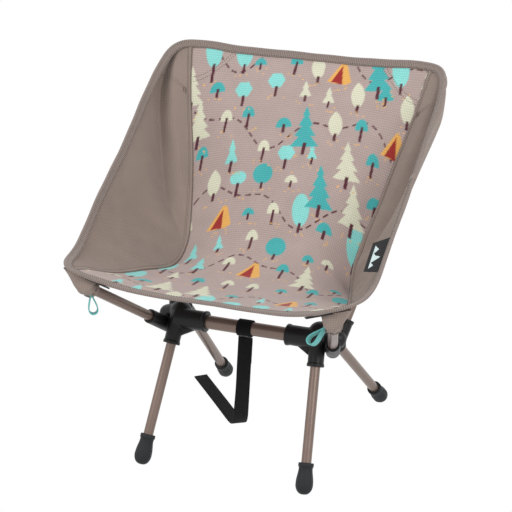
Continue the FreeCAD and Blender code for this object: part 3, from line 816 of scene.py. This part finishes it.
def stitches(name, rows, material, pitch=3.4, radius=0.32):
    """Small thread stitches along rows given as (points, normals): each one a low spindle."""
    vertices, faces = [], []
    for line, normal in rows:
        count = max(2, int(distances(line)[-1] / pitch))
        dense = evenly(line, 3 * count)
        up = unit(between(np.linspace(0, len(line) - 1, 3 * count), np.arange(len(line)), normal))
        for index in range(count):
            a, b, lift = dense[3 * index], dense[3 * index + 2], up[3 * index + 1]
            side = np.cross(unit(b - a), lift)
            first = len(vertices)
            vertices.append(a - lift * 0.2)
            for share in (0.25, 0.75):
                centre = a + (b - a) * share + lift * 0.15
                vertices += [centre + way * radius for way in (side, lift, -side, -lift)]
            vertices.append(b - lift * 0.2)
            ring, other, end = first + 1, first + 5, first + 9
            for k in range(4):
                after = (k + 1) % 4
                faces += [(first, ring + after, ring + k), (ring + k, ring + after, other + after, other + k),
                          (end, other + k, other + after)]
    new_piece(name, (vertices, faces), material, closed=False)


def flat_map(along, across):
    """A grid's UV map in metres, from where its rows and its columns lie in mm."""
    return np.stack(np.broadcast_arrays(along[:, None], across[None]), -1).reshape(-1, 2) * MM


def band_uv(rows, columns, pitch, around=None):
    """A plain map for a band: pitch mm for each row, and around mm, or pitch, for each column."""
    return flat_map(np.arange(rows) * pitch, np.arange(columns) * (around or pitch))


def make_seams(material, thread):
    """The felled seam between the centre and each side: a raised strip with two rows of stitches."""
    count = 260
    along = np.linspace(0.012, 0.985, count)
    span = side_surface(np.ones(count), along) - side_surface(np.zeros(count), along)
    span = np.linalg.norm(span, axis=1)
    section = ((0.425, 0.1), (0.85, 0.9), (3.1875, 1.0), (6.375, 1.0), (7.96875, 0.8), (SEAM_WIDTH, 0.1))
    for name, side in SIDES.items():
        rows = []
        for distance, lift in section + ((1.6, 1.05), (6.9, 1.05)):
            share = np.minimum(distance / span, 0.6 * distance / SEAM_WIDTH)
            rows.append(side_points(side, share, along, lift))
        strip = np.stack([points for points, _ in rows[:-2]], 1)
        faces = grid_faces(count, len(section), wrap=True)
        new_piece("seam_strip_" + name, (strip.reshape(-1, 3), faces), material,
                  uv=band_uv(count, len(section), 2.3, 1.7))
        stitches("seam_stitches_" + name, rows[-2:], thread)


def make_corner_stitching(thread):
    """Curved double rows that hold the back pockets behind the cloth, and a bartack at each mouth."""
    for name, side in SIDES.items():
        rows = []
        for gap in (0.0, 0.012):
            share = np.linspace(0, 1, 40)
            rows.append(surface_grid(centre_surface, centre_relief, side * (0.985 - 0.36 * share),
                                     0.895 + gap + 0.085 * share ** 1.7, 0.1))
            rows.append(side_points(side, np.linspace(0.05, 0.93, 40), np.full(40, 0.855 + gap * 0.6), 0.1))
        stitches("pocket_stitches_" + name, rows, thread)
        inner = np.linspace(0.10, 0.26, 14)
        rows = [side_points(side, inner, np.full(14, 0.849 + 0.0028 * row), 0.15) for row in range(5)]
        stitches("bartack_" + name, rows, thread, pitch=2.6, radius=0.42)


def corner_cup(name, rings, material, replaced, thickness=1.0):
    """A cloth cup lofted through rings of points, open at its first ring, closed at its last."""
    rings = np.asarray(rings)
    count = rings.shape[1]
    outer = np.stack([spline(rings[:, column], 26) for column in range(count)], 1)
    centres = outer.mean(1, keepdims=True)
    crease = 0.35 * np.sin(np.linspace(0, 2 * math.pi, count, endpoint=False) * 9)[None, :, None]
    outer = outer + unit(outer - centres) * crease
    inner = outer - unit(outer - centres) * thickness
    rows = len(outer)
    vertices = np.concatenate([outer.reshape(-1, 3), inner.reshape(-1, 3)])
    faces = grid_faces(rows, count, wrap=True)
    faces += grid_faces(rows, count, wrap=True, first=rows * count, flip=True)
    faces += [(c, rows * count + c, rows * count + (c + 1) % count, (c + 1) % count) for c in range(count)]
    faces.append(tuple((rows - 1) * count + c for c in range(count)))
    faces.append(tuple((2 * rows - 1) * count + c for c in range(count))[::-1])
    uv = flat_map(np.linspace(0, 40, rows), np.linspace(0, 70, count))[:, ::-1]
    piece = new_piece(name, (vertices, faces), material, uv=np.concatenate([uv, uv]))
    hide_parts(replaced)


def circle(centre, direction, radius, count=40):
    """Points of a circle, starting at its highest point and turning towards +X."""
    direction = unit(direction)
    up = unit(np.array((0, 0, 1.0)) - direction * direction[2])
    sideways = unit(np.cross(up, direction))
    sideways = sideways if sideways[0] > 0 else -sideways
    turn = np.linspace(0, 2 * math.pi, count, endpoint=False)
    return np.asarray(centre) + radius * (np.cos(turn)[:, None] * up + np.sin(turn)[:, None] * sideways)


def swept_piece(name, side, line, across, up, profile, material, pitch=None, closed=False):
    """A band swept along a line of the right side, or its mirror image on the left."""
    shape = sweep(on_side(line, side), on_side(across, side), on_side(up, side), profile, closed)
    uv = band_uv(len(line), len(profile), pitch) if pitch else None
    return new_piece(name, shape, material, uv=uv)


def make_front_pocket(name, side, cloth, thread, black):
    """The funnel of cloth under a front corner that holds the seat pole's tip."""
    direction = unit(SEAT_TIP - POLE_MEET)
    hem = SEAT_TIP - direction * 17.0
    start = circle(hem, direction, 10.6)
    middle = circle(hem + direction * 12, direction + (0, 0, 0.35), 11.6)
    turn = np.linspace(0, 2 * math.pi, 40, endpoint=False)[:, None]
    edge = unit((0.93, -0.22, 0.28))
    inward = unit((-0.25, 0.92, -0.22))
    top = (168, -174.5, 277.6) + 12.0 * np.cos(turn) * inward + 24.0 * np.sin(turn) * edge
    rings = [start, start * 0.55 + middle * 0.45, middle, middle * 0.35 + top * 0.65, top]
    corner_cup("front_pocket_cloth_" + name, [on_side(ring, side) for ring in rings], cloth,
               "front_pocket_" + name)
    hem_ring = circle(hem + direction * 0.4, direction, 11.3, 60)
    swept_piece("pocket_hem_" + name, side, hem_ring, np.tile(direction, (60, 1)), unit(hem_ring - hem),
                flat_profile(5.0, 1.3), cloth, pitch=1.2, closed=True)
    row = circle(hem + direction * 2.2, direction, 12.1, 60)
    stitches("pocket_hem_stitches_" + name, [(on_side(row, side), on_side(unit(row - hem), side))], thread)
    # a black strip along the pocket's top edge: painted shade, a dark sheet standing for the shadowed gap
    # between the binding and the pocket
    front = spline([(130, -176.2, 263), (143, -180, 268.6), (156, -183.4, 274), (167, -185.6, 278.6)], 40)
    off = unit(np.tile((0.1, -0.75, -0.65), (40, 1)))
    wide = unit(np.cross(off, np.gradient(front, axis=0)))
    swept_piece("pocket_gap_shade_" + name, side, front, wide, off, flat_profile(4.6, 0.9), black)


def make_back_pocket(name, side, cloth):
    """The sleeve behind a back corner that holds the back pole's tip."""
    direction = unit(BACK_TIP - POLE_MEET)
    rings = [on_side(circle(BACK_TIP + direction * distance, direction, radius), side)
             for distance, radius in ((-62, 10.2), (-45, 9.9), (-25, 9.6), (-8, 9.4), (1.6, 5.0))]
    corner_cup("back_pocket_cloth_" + name, rings, cloth, "back_pocket_" + name)


# where each loop is sewn on, which way it hangs, and which way it opens (mirrored on the left)
LOOP_TOP = {"left": (160.0, -170.0, 252.0), "right": (155.0, -172.0, 253.0)}
LOOP_DOWN = {"left": (-0.16, -0.05, -1.0), "right": (-0.66, -0.25, -0.72)}
LOOP_GAP = {"left": (0.86, -0.50, 0.0), "right": (0.42, -0.42, -0.55)}
LOOP_DROP = 29.0


def make_pull_loop(name, side, material):
    """A loop of flat tape sewn into the pocket's hem; it hangs inward under its own weight."""
    down = unit(LOOP_DOWN[name])
    gap = np.array(LOOP_GAP[name])
    gap = unit(gap - down * (gap @ down))
    share = np.linspace(0, 1, 60)
    there_and_back = np.where(share < 0.5, share * 2, 2 - share * 2)
    drop = LOOP_DROP * (1 - (1 - there_and_back) ** 1.9)
    spread = 6.2 * np.sin(2 * math.pi * share) * np.abs(np.sin(math.pi * share)) ** 0.35
    line = evenly(LOOP_TOP[name] + down * drop[:, None] + gap * spread[:, None], 70)
    across = unit(np.cross(np.tile(down, (70, 1)), gap))
    piece = swept_piece("pull_loop_tape_" + name, side, line, across, off_face(line, across),
                        flat_profile(10.4, 1.5), material, pitch=1.1)
    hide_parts("pull_loop_" + name)


LABEL_ALONG, LABEL_INNER = (0.212, 0.336), (0.775, 0.955)
LABEL_STAND = 95.0
LABEL_PEAKS = (((0.22, 0.86), (0.50, 0.70), (0.22, 0.56)), ((0.22, 0.60), (0.72, 0.44), (0.22, 0.28)),
               ((0.22, 0.32), (0.46, 0.20), (0.22, 0.10)))


def make_label(material, mark):
    """The woven label beside the binding, with a plain mark of three peaks and no lettering."""
    inner, along = np.meshgrid(np.linspace(*LABEL_INNER, 24), np.linspace(*LABEL_ALONG, 50))
    stand = LABEL_STAND * (LABEL_INNER[1] - inner)
    face, _ = side_points(1, inner, along, 1.2 + stand)
    back, _ = side_points(1, inner, along, 0.4 + stand)
    flat = np.stack([inner * 150, along * SIDE_WEAVE_LENGTH], -1)
    piece = closed_patch("woven_label_patch", face, back, flat, material)
    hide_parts("woven_label")
    width, height = LABEL_INNER[1] - LABEL_INNER[0], LABEL_ALONG[1] - LABEL_ALONG[0]
    vertices, faces = [], []
    for peak in LABEL_PEAKS:
        first = len(vertices)
        x, y = np.array(peak).T
        lift = 1.35 + LABEL_STAND * width * (1 - x)
        corners, _ = side_points(1, LABEL_INNER[0] + width * x, LABEL_ALONG[0] + height * y, lift)
        normal = unit(np.cross(corners[1] - corners[0], corners[2] - corners[0]))
        vertices += [*corners, *(corners + normal * 0.3)]
        faces += [(first, first + 1, first + 2), (first + 5, first + 4, first + 3)]
        faces += [(first + a, first + 3 + a, first + 3 + b, first + b) for a, b in ((0, 1), (1, 2), (2, 0))]
    new_piece("label_mark", (vertices, faces), mark, smooth=False)


# -------- strap

STRAP_ROUTE = [(-2, -41.5, 164), (-6, -37.5, 120), (-13, -26.5, 72), (-23, -7.5, 30), (-33, 11.5, 9),
               (-48, 32.5, 2), (-82, 72.5, 2), (-117, 112.5, 2), (-151, 151.5, 2)]
STRAP_WIDTH, STRAP_THICKNESS = 20.0, 1.8
BAR_CENTRE = np.array((-1.5, -41.5, 177.0))
BAR_RADIUS = 9.0


def nurbs_line(points):
    """Points of the smooth NURBS line that has these control points, in mm."""
    curve = bpy.data.curves.new("route", "CURVE")
    curve.dimensions = "3D"
    curve.resolution_u = 24
    route = curve.splines.new("NURBS")
    route.points.add(len(points) - 1)
    for control, point in zip(route.points, points):
        control.co = (*(c * MM for c in point), 1)
    route.order_u = 3
    route.use_endpoint_u = True
    holder = bpy.data.objects.new("route", curve)
    mesh = bpy.data.meshes.new_from_object(holder)
    line = np.array([vertex.co[:] for vertex in mesh.vertices]) / MM
    bpy.data.objects.remove(holder)
    bpy.data.curves.remove(curve)
    bpy.data.meshes.remove(mesh)
    return line


def make_strap(material, sewn_material):
    """The hook-and-loop strap: a sewn loop round the crossbar, a hanging run and a tail on the ground."""
    line = evenly(nurbs_line(STRAP_ROUTE), 150)
    share = np.linspace(0, 1, 150)
    turn = np.radians(43) * fade(share, 0.22, 0.60)
    across = np.stack([np.cos(turn), np.sin(turn), 0 * turn], 1)
    off = off_face(line, across)
    line[:, 2] = np.maximum(line[:, 2], STRAP_THICKNESS / 2 + 0.15)
    profile = flat_profile(STRAP_WIDTH, STRAP_THICKNESS)
    waves = 0.35 * np.sin(share * 21) * fade(share, 0.05, 0.2) * fade(share, 0.55, 0.45)
    strap = swept_piece("strap_run", 1, line + off * waves[:, None], across, off, profile, material,
                        pitch=2.3)
    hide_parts("strap_hanging", "strap_tail")
    length = distances(line)[-1] * MM

    turn = np.linspace(math.radians(-118), math.radians(238), 70)
    radius = BAR_RADIUS + 0.5 + STRAP_THICKNESS / 2
    loop = BAR_CENTRE + np.stack([0 * turn, radius * np.cos(turn), radius * np.sin(turn)], 1)
    across = np.tile((1.0, 0, 0), (70, 1))
    ring = swept_piece("strap_loop", 1, loop, across, off_face(loop, across), profile, material,
                       pitch=2.3)
    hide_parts("strap_ring")
    doubled = evenly(line[1:18] + (0, 1.9, 0), 30)
    across = across[:30]
    swept_piece("strap_sewn_end", 1, doubled, across, off_face(doubled, across),
                flat_profile(STRAP_WIDTH - 0.6, STRAP_THICKNESS), sewn_material, pitch=2.3)


# -------- hubs and feet

def make_hub(name, material):
    """The moulded hub: the frame's solid, with its corners rounded as a moulding's are."""
    source = frame["nodes"]["hub_" + name]
    mesh = source.data.copy()
    piece = bpy.data.objects.new("hub_moulding_" + name, mesh)
    bpy.context.scene.collection.objects.link(piece)
    remesh = piece.modifiers.new("voxels", "REMESH")
    remesh.mode = "VOXEL"
    remesh.voxel_size = 0.75 * MM
    soften = piece.modifiers.new("soften", "SMOOTH")
    soften.factor = 0.5
    soften.iterations = 7
    fewer = piece.modifiers.new("fewer", "DECIMATE")
    fewer.ratio = 0.45
    bpy.context.view_layer.update()
    shaped = bpy.data.meshes.new_from_object(piece.evaluated_get(bpy.context.evaluated_depsgraph_get()))
    piece.modifiers.clear()
    piece.data = shaped
    finish_piece(piece, material, "chair")
    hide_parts("hub_" + name)


def foot_profile():
    """The foot cap along the leg, from its mouth down: a lip, a waist and a round end."""
    lip = [(0.0, 7.0), (0.0, 9.2), (0.5, 9.9), (4.4, 10.0), (5.2, 9.6), (5.8, 9.1)]
    waist = [(8.0, 8.9), (12.0, 9.2), (16.0, 9.9), (20.0, 10.6), (24.0, 11.0)]
    turn = np.linspace(0, math.pi / 2 - 0.04, 14)
    ball = [(28.0 + 12.4 * math.sin(a), 11.1 * math.cos(a) ** 0.8) for a in turn]
    return lip + waist + ball


def make_foot(end, name, side, foot, material):
    """A rubber foot cap, flat where it meets the ground."""
    start, end_point = on_side(LEG_MEET, side), on_side(foot, side)
    direction = unit(end_point - start)
    mouth = end_point - direction * 28
    vertices, faces = lathe(foot_profile(), mouth, direction, 56)
    steps = np.arange(len(vertices)) % 56 / 56 * 2 * math.pi
    level = (vertices - mouth) @ direction
    facets = 0.22 * np.cos(8 * steps) * fade(level, 6, 14) * fade(level, 36, 28)
    vertices = vertices + unit(vertices - mouth - level[:, None] * direction) * facets[:, None]
    vertices[:, 2] = np.maximum(vertices[:, 2], 0.0)
    node = "%s_foot_cap_%s" % (end, name)
    piece = new_piece(node + "_rubber", (vertices, faces), material,
                      body="%s_leg_%s" % (end, name))
    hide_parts(node)


# -------- build

make_camera()
make_studio()

tube = tube_material()
hub_plastic = plastic_material("hub_nylon", (0.0055, 0.0055, 0.006), 0.40)
rubber = plastic_material("foot_rubber", (0.010, 0.011, 0.012), 0.60, grain=700)
printed = weave_material("printed_polyester", GROUND, 0.0024, painted="print", depth=0.5)
underside = weave_material("printed_underside", linear(168, 152, 146), 0.0016)
plain = weave_material("plain_polyester", linear(146, 130, 121), 0.0022, depth=0.5)
binding = ribbed_material("binding_grosgrain", linear(146, 131, 124), 0.0026)
aqua_tape = ribbed_material("aqua_tape", linear(120, 214, 210), 0.0011)
pile = pile_material()
# black cloth for the strap's real sewn end, and also for the painted shade of the gap above each front pocket
black_tape_and_gap_shade = weave_material("black_tape_and_gap_shade", (0.012, 0.012, 0.013), 0.0012, sheen=0.05)
label_cloth = weave_material("label_satin", (0.010, 0.010, 0.012), 0.0006, sheen=0.05, roughness=0.6)
label_mark = weave_material("label_thread", linear(205, 222, 222), 0.0005, sheen=0.05)
thread = weave_material("thread_dark", linear(104, 90, 84), 0.0006)
cord = ribbed_material("cord_braid", linear(150, 170, 172), 0.0015)
ferrule = new_material("ferrule_aluminium", (0.72, 0.72, 0.73), 0.3, metallic=1.0)

NODE_LOOKS = {"anodised_tube": tube, "hub_plastic": hub_plastic, "tip_plastic": hub_plastic,
              "foot_rubber": rubber, "shock_cord": cord, "ferrule_metal": ferrule, "rivet_steel": ferrule}
for entry in frame["record"]["subparts"]:
    look = NODE_LOOKS.get(entry["material_slot"])
    if look:
        for material_slot in frame["nodes"][entry["node"]].material_slots:
            material_slot.material = look

make_strap(pile, black_tape_and_gap_shade)
make_centre_panel(printed)
make_lining(underside)
make_binding(binding, thread)
make_seams(plain, thread)
make_corner_stitching(thread)
for name, side in SIDES.items():
    make_side_panel(name, side, plain)
    make_front_pocket(name, side, plain, thread, black_tape_and_gap_shade)
    make_back_pocket(name, side, plain)
    make_pull_loop(name, side, aqua_tape)
    make_hub(name, hub_plastic)
    make_foot("front", name, side, FRONT_FOOT, rubber)
    make_foot("rear", name, side, REAR_FOOT, rubber)
make_label(label_cloth, label_mark)

bpy.context.view_layer.update()
